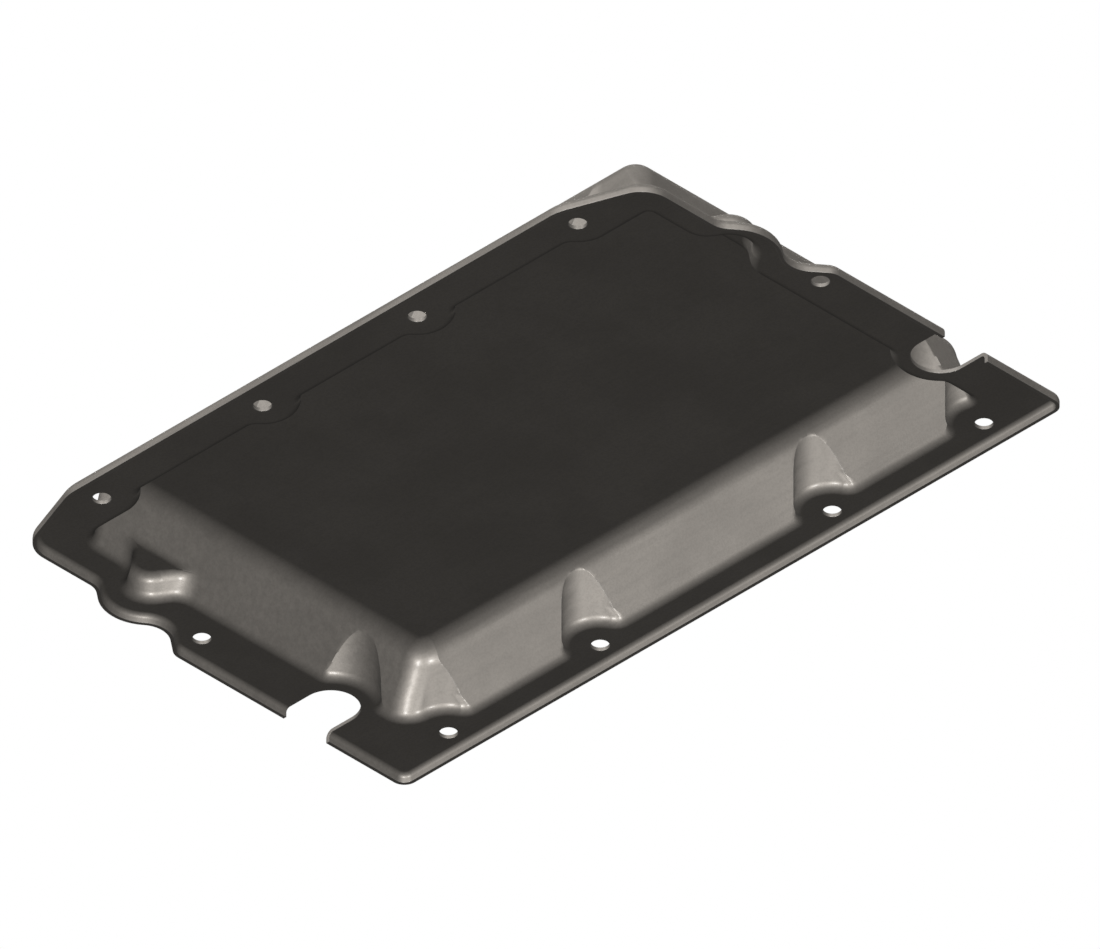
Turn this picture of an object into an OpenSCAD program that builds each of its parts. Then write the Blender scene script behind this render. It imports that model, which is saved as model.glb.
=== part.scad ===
// Valve cover pressed from one sheet of steel: a deep dish with sloping walls,
// a flat bolting flange round it and a stiffening lip turned down from the edge.
// The cover stands on its lip as it does on a bench, with the dish upwards.
// X runs along the cover and Y across it, from the chamfered back to the front.
// Y is measured from the middle of the bolt rows, and at the end the whole cover is
// shifted so that the middle of its length and width lies over the origin.

/* [Sheet] */
// Thickness of the sheet
sheet_t = 1.52; // [1.2:0.02:2]

/* [Dish] */
// Length of the dish mouth, where the flange starts to turn up into the wall
dish_l = 308.1; // [300:0.1:316]
// Distance from the middle of the bolt rows to the front of the mouth
dish_front = 99.6; // [96:0.1:103]
// Distance from the middle of the bolt rows to the back of the mouth
dish_back = 96.6; // [93:0.1:100]
// Height of the ceiling inside, above the lower face of the flange
dish_h = 30.2; // [26:0.1:36]
// Slope of the short walls, from upright
side_draft = 16.5; // [8:0.5:22]
// Slope of the front wall, from upright
front_draft = 21.7; // [12:0.1:26]
// Slope of the back wall, from upright
back_draft = 16.3; // [8:0.1:22]
// Inside radius between the walls and the ceiling
crown_r = 8.9; // [5:0.1:11]
// Radius of the lower face where the flange turns up into the wall
bend_r = 3.74; // [2.6:0.02:4.6]
// Inside radius of the front upright corners
front_corner_in_r = 6.5; // [4:0.1:8]
// Inside radius of the back upright corners
back_corner_in_r = 8.3; // [4:0.1:11]

/* [Flange] */
// Length over the lips of the short sides
cover_l = 353; // [348:0.5:362]
// Width over the front and back lips
cover_w = 225.6; // [222.5:0.1:232]
// Distance from the middle of the bolt rows to the front lip
front_edge = 110.5; // [108.5:0.1:112]
// Radius of the front corners of the outline
front_corner_r = 5.5; // [4.5:0.1:9]
// Length over the narrower back end of the flange
waist_l = 332.8; // [330:0.1:336]
// Length of the sloping cut at each back corner
chamfer_l = 35.9; // [28:0.1:42]
// Depth of the sloping cut at each back corner
chamfer_w = 13.1; // [8:0.1:18]
// Radius between the sloping cut and the back lip
chamfer_r = 20.8; // [10:0.1:26]
// Radius between the sloping cut and the short side
back_corner_r = 13.7; // [8:0.1:20]
// Depth of the lip below the lower face of the flange
lip_h = 3.84; // [3:0.02:6]
// Inside radius where the flange turns down into the lip
lip_r = 1.92; // [1:0.02:2.4]

/* [Ears] */
// Distance of the ears from the middle of the bolt rows, towards the back
ear_y = 46.8; // [44:0.1:50]
// Distance from the middle of the cover to the crest of an ear
ear_reach = 174.9; // [173:0.1:178]
// Radius of the crest of an ear
ear_r = 19.6; // [14:0.1:21]
// Distance from the middle of the cover to the dip beside an ear
dip_reach = 168.1; // [166.8:0.1:169.5]
// Radius of the dip
dip_r = 11.5; // [8:0.1:12]
// Slope of the flanks of an ear, from the Y direction
ear_slope = 38; // [32:0.5:44]
// Radius where the short side turns in towards the dip
shoulder_r = 6.9; // [4:0.1:9]
// Radius where the ear runs out into the narrower end
waist_r = 9.2; // [5:0.1:14]

/* [Pockets] */
// Distance from the middle of the cover to the centre of a pocket
pocket_x = 153.7; // [151:0.1:155]
// Inside radius of a pocket
pocket_r = 9.4; // [7:0.1:11]
// Height of a pocket's roof above the lower face of the flange
pocket_h = 11.1; // [9.5:0.1:14]
// Inside radius between a pocket's wall and its roof
pocket_crown_r = 3.7; // [2:0.1:5]
// Radius that blends a pocket's mouth into the short wall
pocket_blend_r = 4.1; // [2:0.1:6]

/* [Notches] */
// Distance from the middle of the cover to the centre of a notch's round end
notch_x = 162.7; // [161.5:0.1:165]
// Distance of the notches from the middle of the bolt rows, towards the front
notch_y = 57.4; // [50:0.1:59]
// Width of a notch
notch_w = 22.7; // [16:0.1:24]
// Radius of the hollow in the wall round a notch
notch_relief_r = 19.05; // [16.5:0.05:21]

/* [Bolts] */
// Diameter of the bolt holes
bolt_d = 7.14; // [5.5:0.02:9]
// Distance between the front and back rows of bolts
row_gap = 200.9; // [199:0.1:203]
// Spacing of the outer pair of bolts in the front row
front_outer = 285.75; // [282:0.05:288]
// Spacing of the inner pair of bolts in the front row
front_inner = 123.8; // [90:0.1:170]
// Spacing of the outer pair of bolts in the back row
back_outer = 254; // [230:0.1:262]
// Spacing of the inner pair of bolts in the back row
back_inner = 82.55; // [60:0.05:120]
// Distance of the side bolts from the lips of the short sides
side_bolt_in = 11.4; // [10:0.1:12.5]
// Distance of the side bolts from the middle of the bolt rows, towards the back
side_bolt_y = 9; // [2:0.1:12]
// Radius of the hollow in the wall round a bolt
relief_r = 14.65; // [12:0.05:16]
// Inside radius that runs a hollow out into the straight foot of its wall
relief_out_r = 4; // [2:0.1:5]

/* [Hidden] */
steel = [0.56, 0.54, 0.51];

// Half sizes and heights that follow from the sizes above
half_l = cover_l / 2;
mouth_x = dish_l / 2;
waist_x = waist_l / 2;
row_y = row_gap / 2;
back_edge = cover_w - front_edge;
side_bolts = cover_l - 2 * side_bolt_in;
crown_z = dish_h - crown_r;
pocket_z = pocket_h - pocket_crown_r;
// Rise from the pocket's roof to the wall above it
shelf = 0.8;
// Smallest half width that a fading hollow keeps along its wall, so that no ring folds
fade = 5;
// Least length of plain wall between a hollow and a corner
land = 0.8;
// Largest share of a swelling's half width that counts as part of its round
most_round = 0.88;
// Least rise of a hollow that an upright corner runs smoothly into
least_rise = 0.5;
// Smallest plan radius of an upright corner as it runs into the ceiling
least_corner_r = 0.8;

// How far a wall of the given slope lies inside the mouth line at height z.
// off is 0 on the inside face of the sheet and sheet_t on the outside face.
function wall_run(slope) =
    (bend_r + crown_r) * cos(slope)
    + (dish_h - (bend_r + crown_r) * (1 - sin(slope))) * tan(slope);

function wall_inset(slope, z, off) =
    let (low_r = bend_r - off)
    let (top_r = crown_r + off)
    let (low_z = bend_r - low_r * sin(slope))
    let (top_z = crown_z + top_r * sin(slope))
    z < low_z ? sqrt(max(0, low_r * low_r - pow(bend_r - z, 2)))
    : z < top_z ? low_r * cos(slope) + (z - low_z) * tan(slope)
    : wall_run(slope) - sqrt(max(0, top_r * top_r - pow(z - crown_z, 2)));

// How far an upright face lies inside its own mouth line at height z
function upright_inset(z, off) =
    let (low_r = bend_r - off)
    z < bend_r ? sqrt(max(0, low_r * low_r - pow(bend_r - z, 2))) : low_r;

// A round swelling on a straight wall. u runs along the wall from the centre of
// the round, r is its radius, gap is how far its centre lies behind the wall and
// blend is the radius that joins the two. bump_half is where it meets the wall.
function bump_half(r, gap, blend) =
    sqrt(max(fade * fade, pow(r + blend, 2) - pow(gap + blend, 2)));

// The same swelling on a wall that leans in over it by lean: how far it still
// stands out at u, and where it comes out of the wall
function swell(u, r, gap, blend, lean) = max(0, bump(u, r, gap, blend) - lean);

function swell_half(r, gap, blend, lean) =
    lean * (r + blend) < blend * (r - gap)
    ? bump_half(r, gap, blend) - sqrt(blend * blend - pow(blend - lean, 2))
    : sqrt(max(fade * fade, r * r - pow(gap + lean, 2)));

function bump(u, r, gap, blend) =
    let (reach2 = pow(r + blend, 2) - pow(gap + blend, 2))
    let (d = sqrt(max(0, reach2)))
    let (a = abs(u))
    gap >= r || a >= d ? 0
    : a > d * r / (r + blend) ? blend - sqrt(max(0, blend * blend - pow(d - a, 2)))
    : max(0, sqrt(max(0, r * r - u * u)) - gap);

// Share of a swelling's half width d that is part of its round
function round_share(r, gap, blend, d) =
    min(most_round, bump_half(r, gap, blend) * r / (r + blend) / d);

// Places along a swelling, from its middle (0) to where it meets the wall (1),
// where k is the share of its round
function bump_steps(k) = [0, 0.36 * k, 0.7 * k, k, (1 + k) / 2, 1];

function whole_steps(k) =
    let (s = bump_steps(k))
    concat([for (i = [5:-1:1]) -s[i]], s);

// Radii of the hollows, the pockets and the upright corners at height z
function hollow_r(r, z, off) = r - bend_r + upright_inset(z, off);

// How far the crown's radius spreads a hollow that runs into it beside a corner
function crown_spread(z, off) =
    let (top_r = crown_r + off)
    top_r - sqrt(max(0, top_r * top_r - pow(max(0, z - crown_z), 2)));

function hollow_blend(z, off) = relief_out_r + bend_r - upright_inset(z, off);

function pocket_plan_r(z, off) =
    let (top_r = pocket_crown_r + off)
    z < pocket_z ? pocket_r + bend_r - upright_inset(z, off)
    : pocket_r - pocket_crown_r + sqrt(max(0, top_r * top_r - pow(z - pocket_z, 2)));

function corner_plan_r(r, z, off) =
    let (top_r = crown_r + off)
    z < crown_z ? r + bend_r - upright_inset(z, off)
    : max(least_corner_r,
          r - crown_r + sqrt(max(0, top_r * top_r - pow(z - crown_z, 2))));

// The turn from the outer front hollow into the short wall, as the place along
// the hollow where it starts, the Y of the corner's centre and the angle turned
// through. u is the corner's centre measured along the wall from the hollow's, and
// the two rounds run smoothly into each other wherever they meet.
function corner_turn(u, r, corner_r, gap, blend, lean) =
    let (reach = r + corner_r)
    let (rise = swell(u * r / reach, r, gap, blend, lean))
    let (drop = sqrt(max(0, reach * reach - u * u)))
    abs(u) < reach / 2 && rise > least_rise ? [u * r / reach, row_y - drop, atan2(drop, -u)]
    : [u, row_y - gap - lean - swell(u, r, gap, blend, lean) - corner_r, 90];

// Half of a level ring round the dish, from the front middle round to the back.
// Each stretch always has the same number of points, so rings can be joined.
function half_ring(z, off) =
    let (inset = upright_inset(z, off))
    let (side_lean = wall_inset(side_draft, z, off) - inset)
    let (front_lean = wall_inset(front_draft, z, off) - inset)
    let (back_lean = wall_inset(back_draft, z, off) - inset)
    let (side = mouth_x - inset - side_lean)
    let (front = dish_front - inset - front_lean)
    let (back = dish_back - inset - back_lean)
    let (r = hollow_r(relief_r, z, off))
    let (blend = hollow_blend(z, off))
    let (front_gap = row_y - dish_front + inset)
    let (back_gap = row_y - dish_back + inset)
    let (front_d = swell_half(r, front_gap, blend, front_lean))
    let (end_r = r + crown_spread(z, off))
    let (end_d = swell_half(end_r, front_gap, blend, front_lean))
    let (back_d = swell_half(r, back_gap, blend, back_lean))
    let (nr = hollow_r(notch_relief_r, z, off))
    let (notch_gap = notch_x - mouth_x + inset)
    let (notch_d = swell_half(nr, notch_gap, blend, side_lean))
    let (roof = pocket_h + off)
    let (pr = pocket_plan_r(min(z, roof), off))
    let (pb = pocket_r + bend_r + pocket_blend_r - pr)
    let (roof_side = mouth_x - wall_inset(side_draft, min(z, roof), off))
    let (pocket_d = bump_half(pr, roof_side - pocket_x, pb))
    let (fr = corner_plan_r(front_corner_in_r, z, off))
    let (br = corner_plan_r(back_corner_in_r, z, off))
    let (turn = corner_turn(side - fr - front_outer / 2, end_r, fr, front_gap, blend, front_lean))
    let (fx = front_outer / 2 + turn[0])
    let (f0 = min(front_outer / 2 - end_d, fx - fade))
    let (bx = min(back_outer / 2, side - br - land))
    let (by = back - swell(bx - back_outer / 2, r, back_gap, blend, back_lean))
    let (b0 = min(back_outer / 2 - back_d, bx - fade))
    let (end_steps = bump_steps(round_share(end_r, front_gap, blend, end_d)))
    let (back_k = round_share(r, back_gap, blend, back_d))
    concat(
        [[0, front]],
        [for (s = whole_steps(round_share(r, front_gap, blend, front_d)))
            [front_inner / 2 + s * front_d,
             front - swell(s * front_d, r, front_gap, blend, front_lean)]],
        [for (i = [5:-1:0])
            let (x = fx - (fx - f0) * end_steps[i])
            [x, front - swell(x - front_outer / 2, end_r, front_gap, blend, front_lean)]],
        [for (i = [4:-1:0])
            let (a = turn[2] * i / 4)
            [side - fr + fr * cos(a), turn[1] + fr * sin(a)]],
        [for (s = whole_steps(round_share(nr, notch_gap, blend, notch_d)))
            [side - swell(s * notch_d, nr, notch_gap, blend, side_lean),
             notch_y - s * notch_d]],
        [for (y = plain_side) [side, y]],
        [for (s = whole_steps(pr / (pr + pb)))
            [side + (z <= roof ? bump(s * pocket_d, pr, side - pocket_x, pb) : 0),
             -ear_y - s * pocket_d]],
        [for (a = [0:22.5:90]) [side - br + br * cos(a), -by + br - br * sin(a)]],
        [for (i = [0:5])
            let (x = bx - (bx - b0) * bump_steps(back_k)[i])
            [x, swell(x - back_outer / 2, r, back_gap, blend, back_lean) - back]],
        [for (s = whole_steps(back_k))
            [back_inner / 2 - s * back_d,
             swell(s * back_d, r, back_gap, blend, back_lean) - back]],
        [[0, -back]]
    );

// Corners of the outline before they are rounded, on the +X side
ear_corner_x = ear_reach + ear_r * (1 / cos(ear_slope) - 1);
dip_corner_x = dip_reach - dip_r * (1 / cos(ear_slope) - 1);
dip_y = -ear_y + (ear_corner_x - dip_corner_x) / tan(ear_slope);
shoulder_y = dip_y + (half_l - dip_corner_x) / tan(ear_slope);
waist_y = -ear_y - (ear_corner_x - waist_x) / tan(ear_slope);
chamfer_a = atan2(chamfer_w, chamfer_l);

// Heights along the short wall that carry the outline's turn into the dip
plain_side = [shoulder_y + 0.5, shoulder_y - 2.5, shoulder_y - 6.5, dip_y + 2.5];

// Points of an arc with their outward directions, as [x, y, out_x, out_y].
// c is its centre and r its radius, and n steps go from angle a0 to angle a1.
function edge_arc(c, r, a0, a1, n) =
    [for (i = [0:n]) let (a = a0 + (a1 - a0) * i / n)
        [c[0] + r * cos(a), c[1] + r * sin(a), cos(a), sin(a)]];

// The arc that rounds the outline's corner p, where its outward direction turns
// from a0 to a1. The corner is hollow where the direction turns back.
function round_corner(p, r, a0, a1, n) =
    let (mid = (a0 + a1) / 2)
    let (d = r / cos((a1 - a0) / 2))
    a1 < a0 ? edge_arc([p[0] - d * cos(mid), p[1] - d * sin(mid)], r, a0, a1, n)
    : [for (e = edge_arc([p[0] + d * cos(mid), p[1] + d * sin(mid)],
                         r, a0 + 180, a1 + 180, n))
        [e[0], e[1], -e[2], -e[3]]];

// Half of the outline, point for point with half_ring
function half_outline() =
    let (mouth = half_ring(0, 0))
    concat(
        [for (i = [0:17]) [mouth[i][0], front_edge, 0, 1]],
        edge_arc([half_l - front_corner_r, front_edge - front_corner_r],
                 front_corner_r, 90, 0, 4),
        [for (i = [23:33]) [half_l, mouth[i][1], 1, 0]],
        round_corner([half_l, shoulder_y], shoulder_r, 0, -ear_slope, 2),
        round_corner([dip_corner_x, dip_y], dip_r, -ear_slope, ear_slope, 4),
        [for (i = [1:4])
            round_corner([ear_corner_x, -ear_y], ear_r, ear_slope, -ear_slope, 4)[i]],
        round_corner([waist_x, waist_y], waist_r, -ear_slope, 0, 2),
        round_corner([waist_x, chamfer_w - back_edge], back_corner_r,
                     0, chamfer_a - 90, 4),
        round_corner([waist_x - chamfer_l, -back_edge], chamfer_r,
                     chamfer_a - 90, -90, 2),
        [for (i = [57:71]) [mouth[i][0], -back_edge, 0, -1]]
    );

// Heights of the rings up the dish, from the mouth to the ceiling
function heights(off) =
    let (crown_top = crown_r + off)
    let (shelf_z = pocket_h + off + shelf)
    let (crown_low = crown_z + crown_top * sin(12))
    concat(
        [for (a = [0:30:90]) bend_r - (bend_r - off) * cos(a)],
        [for (a = [0:30:90]) pocket_z + (pocket_crown_r + off) * sin(a)],
        [shelf_z, (shelf_z + crown_low) / 2],
        [for (a = [12, 35, 55, 73, 90]) crown_z + crown_top * sin(a)]
    );

// A half ring and its mirror image, as points at height z above the lip's edge
function whole_ring(half, z) = concat(
    [for (p = half) [p[0], p[1], z + lip_h]],
    [for (i = [len(half) - 2:-1:1]) [-half[i][0], half[i][1], z + lip_h]]
);

// The ring that lies the given distance inside the outline
function edge_ring(outline, inside, z) =
    whole_ring([for (e = outline) [e[0] - e[2] * inside, e[1] - e[3] * inside]], z);

// The pressed sheet before it is pierced: rings down the inside face of the dish,
// out under the flange, round the lip and back over the outside face
module pressed_sheet() {
    low = heights(0);
    high = heights(sheet_t);
    outline = half_outline();
    top_r = lip_r + sheet_t;
    rings = concat(
        [for (i = [len(low) - 1:-1:0]) whole_ring(half_ring(low[i], 0), low[i])],
        [for (a = [0:45:90]) edge_ring(outline, top_r - lip_r * sin(a), lip_r * (cos(a) - 1))],
        [edge_ring(outline, sheet_t, -lip_h)],
        [edge_ring(outline, 0, -lip_h)],
        [for (a = [90:-45:0]) edge_ring(outline, top_r * (1 - sin(a)), top_r * cos(a) - lip_r)],
        [for (z = high) whole_ring(half_ring(z, sheet_t), z)]
    );
    n = len(rings[0]);
    count = len(rings);
    under = n * count;
    over = under + 1;
    points = concat(
        [for (ring = rings) each ring],
        [[0, 0, dish_h + lip_h], [0, 0, dish_h + sheet_t + lip_h]]
    );
    strips = [for (k = [0:count - 2]) for (i = [0:n - 1])
        let (a = k * n + i)
        let (b = k * n + (i + 1) % n)
        each [[a, b, b + n], [a, b + n, a + n]]];
    caps = [for (i = [0:n - 1])
        let (j = (i + 1) % n)
        each [[under, j, i], [over, (count - 1) * n + i, (count - 1) * n + j]]];
    polyhedron(points, concat(strips, caps), convexity = 8);
}

// Bolt positions on the +X side
bolts = [
    [front_inner / 2, row_y],
    [front_outer / 2, row_y],
    [back_inner / 2, -row_y],
    [back_outer / 2, -row_y],
    [side_bolts / 2, -side_bolt_y]
];

// A tool that pierces the flange right through
module bolt_hole() {
    translate([0, 0, lip_h - 1]) cylinder(h = sheet_t + 2, d = bolt_d, $fn = 64);
}

// A tool that cuts an open notch through the flange and its lip
module notch() {
    depth = lip_h + sheet_t + 2;
    translate([notch_x, notch_y, -1]) {
        cylinder(h = depth, d = notch_w, $fn = 96);
        translate([0, -notch_w / 2, 0]) cube([half_l - notch_x + 2, notch_w, depth]);
    }
}

module cover() {
    color(steel)
    translate([0, (back_edge - front_edge) / 2, 0])
    difference() {
        pressed_sheet();
        for (side = [0, 1]) mirror([side, 0, 0]) {
            for (p = bolts) translate([p[0], p[1], 0]) bolt_hole();
            notch();
        }
    }
}

cover();
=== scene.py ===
"""Valve cover pressed from one steel sheet, dressed and lit as a studio picture.

The sheet is modelled finely in the place of the plain CAD solid and has a finish of
worn, satin steel. Everything is in the frame's own axes: the cover stands on its lip
at z = 0 with the dish upwards.
"""

import logging
import math
from dataclasses import dataclass
from enum import Enum

import bmesh
import bpy
from bmesh.types import BMEdge
from bpy.types import Material, Node, NodeSocket, NodeTree, Object
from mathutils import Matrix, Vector


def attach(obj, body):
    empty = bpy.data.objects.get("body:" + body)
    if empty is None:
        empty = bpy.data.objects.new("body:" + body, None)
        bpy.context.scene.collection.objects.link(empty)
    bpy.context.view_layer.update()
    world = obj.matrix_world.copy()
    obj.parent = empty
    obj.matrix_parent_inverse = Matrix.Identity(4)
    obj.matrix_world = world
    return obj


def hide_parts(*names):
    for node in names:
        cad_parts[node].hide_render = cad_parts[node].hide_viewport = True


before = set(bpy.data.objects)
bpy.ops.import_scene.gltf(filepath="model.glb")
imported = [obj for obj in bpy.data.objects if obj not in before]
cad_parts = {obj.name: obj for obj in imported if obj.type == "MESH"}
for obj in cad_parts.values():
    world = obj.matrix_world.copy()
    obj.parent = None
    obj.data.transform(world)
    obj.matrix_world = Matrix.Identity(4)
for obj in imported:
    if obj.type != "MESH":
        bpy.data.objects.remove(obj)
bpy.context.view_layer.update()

LOG = logging.getLogger("valve_cover")
MM = 0.001
# Height in millimetres between two rings that lie on one level face
ROOF_GAP = 0.002

Colour = tuple[float, float, float]
Point = tuple[float, float, float]
Spot = tuple[float, float]
Trail = list[Spot]
# Where a range of values starts and ends
Span = tuple[float, float]
# Points of an outline: x, y and the outward direction's x and y
Outline = list[tuple[float, float, float, float]]

WHITE: Colour = (1.0, 1.0, 1.0)


class Side(Enum):
    """A light's part in the studio."""

    KEY = "key"
    FILL = "fill"
    SIDE = "side"
    TOP = "top"


# Small helpers


def deselect_all() -> None:
    """Leave nothing selected, so that the next operator acts on one piece only."""
    bpy.ops.object.select_all(action="DESELECT")


def activate(piece: Object) -> None:
    """Select one piece alone and make it the one that operators act on."""
    deselect_all()
    piece.select_set(True)
    bpy.context.view_layer.objects.active = piece


def spread(start: float, end: float, steps: int) -> list[float]:
    """Return evenly spaced numbers, so many steps from the first to the last."""
    return [start + (end - start) * i / steps for i in range(steps + 1)]


def leg(long: float, short: float) -> float:
    """Return the third side of a right-angled triangle, or 0 where there is none."""
    return math.sqrt(max(0.0, long**2 - short**2))


# Finishes


@dataclass(frozen=True)
class NoiseLayer:
    """One layer of noise on object coordinates.

    Attributes:
        scale: Repeats per metre.
        detail: Octaves of finer noise.
        roughness: Strength of the finer octaves.
        stretch: Scale along X, Y and Z, to draw the grain out one way.
    """

    scale: float
    detail: float
    roughness: float
    stretch: Point = (1.0, 1.0, 1.0)


class NodeBench:
    """Places and links the nodes of one tree, so that each line says one thing."""

    def __init__(self, tree: NodeTree) -> None:
        """Start with an empty tree, of a material or of a shader node group."""
        self.tree = tree
        tree.nodes.clear()

    def node(self, kind: str, **settings: object) -> Node:
        """Add one node of a kind, with its properties set."""
        made = self.tree.nodes.new(kind)
        for name, value in settings.items():
            setattr(made, name, value)
        return made

    def feed(self, made: Node, values: dict[str | int, object]) -> None:
        """Fill a node's inputs with constants or with the sockets that they read."""
        for name, value in values.items():
            if isinstance(value, NodeSocket):
                self.tree.links.new(value, made.inputs[name])
            else:
                made.inputs[name].default_value = value

    def maths(self, operation: str, first: object, second: object) -> NodeSocket:
        """Combine two sockets or numbers in a Math node."""
        made = self.node("ShaderNodeMath", operation=operation)
        self.feed(made, {0: first, 1: second})
        return made.outputs[0]

    def ramp(self, value: NodeSocket, span: Span, to: Span = (0.0, 1.0)) -> NodeSocket:
        """Map one range of values smoothly onto another."""
        made = self.node("ShaderNodeMapRange", interpolation_type="SMOOTHSTEP")
        limits = zip(("From Min", "From Max", "To Min", "To Max"), span + to)
        self.feed(made, {"Value": value, **dict(limits)})
        return made.outputs["Result"]

    def mix(self, factor: object, first: object, second: object) -> NodeSocket:
        """Mix two colours, by how much of the second one shows."""
        made = self.node("ShaderNodeMix", data_type="RGBA")
        self.feed(made, {"Factor": factor, "A": first, "B": second})
        return made.outputs["Result"]

    def noise(self, coordinates: NodeSocket, layer: NoiseLayer) -> NodeSocket:
        """Add one layer of noise, from 0 to 1 with its middle at about 0.5."""
        place = self.node("ShaderNodeMapping")
        self.feed(place, {"Vector": coordinates, "Scale": layer.stretch})
        made = self.node("ShaderNodeTexNoise")
        self.feed(made, {"Vector": place.outputs["Vector"], "Scale": layer.scale})
        self.feed(made, {"Detail": layer.detail, "Roughness": layer.roughness})
        return made.outputs["Fac"]

    def choose(self, mask: NodeSocket, first: Node, second: Node) -> NodeSocket:
        """Show one shader where the mask is 0 and a second one where it is 1."""
        made = self.node("ShaderNodeMixShader")
        self.feed(made, {0: mask, 1: first.outputs[0], 2: second.outputs[0]})
        return made.outputs["Shader"]


def colour(rgb: Colour) -> tuple[float, float, float, float]:
    """Return a colour with full opacity."""
    return (*rgb, 1.0)


@dataclass(frozen=True)
class SheetGrain:
    """Shared effect: the rolled sheet's grain, its mottling and fine scratches.

    Attributes:
        name: Name of the shader node group.
        mottle: Broad cloudiness left by the oil and the press.
        grain: Fine lines drawn out along the sheet as it was rolled.
        pits: The finest sand-like texture.
    """

    name: str = "rolled sheet grain"
    mottle: NoiseLayer = NoiseLayer(26.0, 5.0, 0.6)
    grain: NoiseLayer = NoiseLayer(420.0, 3.0, 0.6, stretch=(0.06, 1.0, 1.0))
    pits: NoiseLayer = NoiseLayer(1100.0, 3.0, 0.6)

    def build(self) -> NodeTree:
        """Make the shader node group, with outputs Mottle, Grain and Pits."""
        tree = bpy.data.node_groups.new(self.name, "ShaderNodeTree")
        bench = NodeBench(tree)
        sockets = tree.interface
        sockets.new_socket("Vector", in_out="INPUT", socket_type="NodeSocketVector")
        start = bench.node("NodeGroupInput")
        end = bench.node("NodeGroupOutput")
        layers = {"Mottle": self.mottle, "Grain": self.grain, "Pits": self.pits}
        for name, layer in layers.items():
            sockets.new_socket(name, in_out="OUTPUT", socket_type="NodeSocketFloat")
            bench.feed(end, {name: bench.noise(start.outputs["Vector"], layer)})
        return tree


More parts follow.
